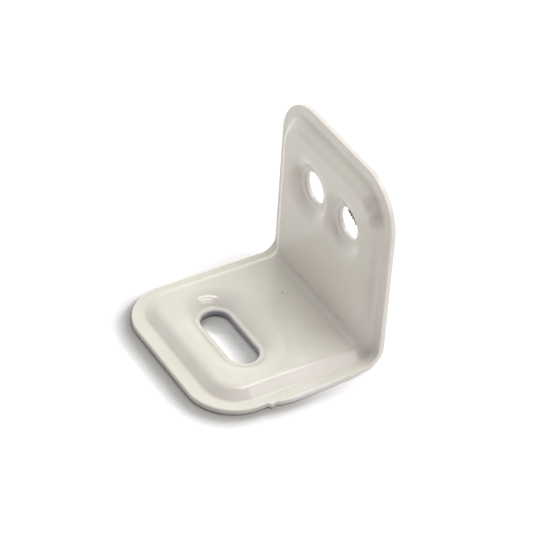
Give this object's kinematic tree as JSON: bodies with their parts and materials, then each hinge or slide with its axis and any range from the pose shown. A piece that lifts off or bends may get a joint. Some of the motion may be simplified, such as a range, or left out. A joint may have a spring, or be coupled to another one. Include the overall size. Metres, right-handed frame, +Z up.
{
  "type": "angle bracket",
  "caption": "Pressed sheet-steel angle bracket with a raised field inside a flat rim, two screw holes in the upright leg and a cross slot in the base leg.",
  "frame": {"origin": "under the middle of the bracket, on the plane of the base leg's underside", "axes": "+Z up along the upright leg, -X towards the free end of the base leg, Y across the width of both legs"},
  "size_m": [0.029, 0.03, 0.032],
  "materials": {
    "coated_steel": "glossy cream-white coating"
  },
  "bodies": {
    "root": {"bracket": "coated_steel"}
  },
  "joints": []
}
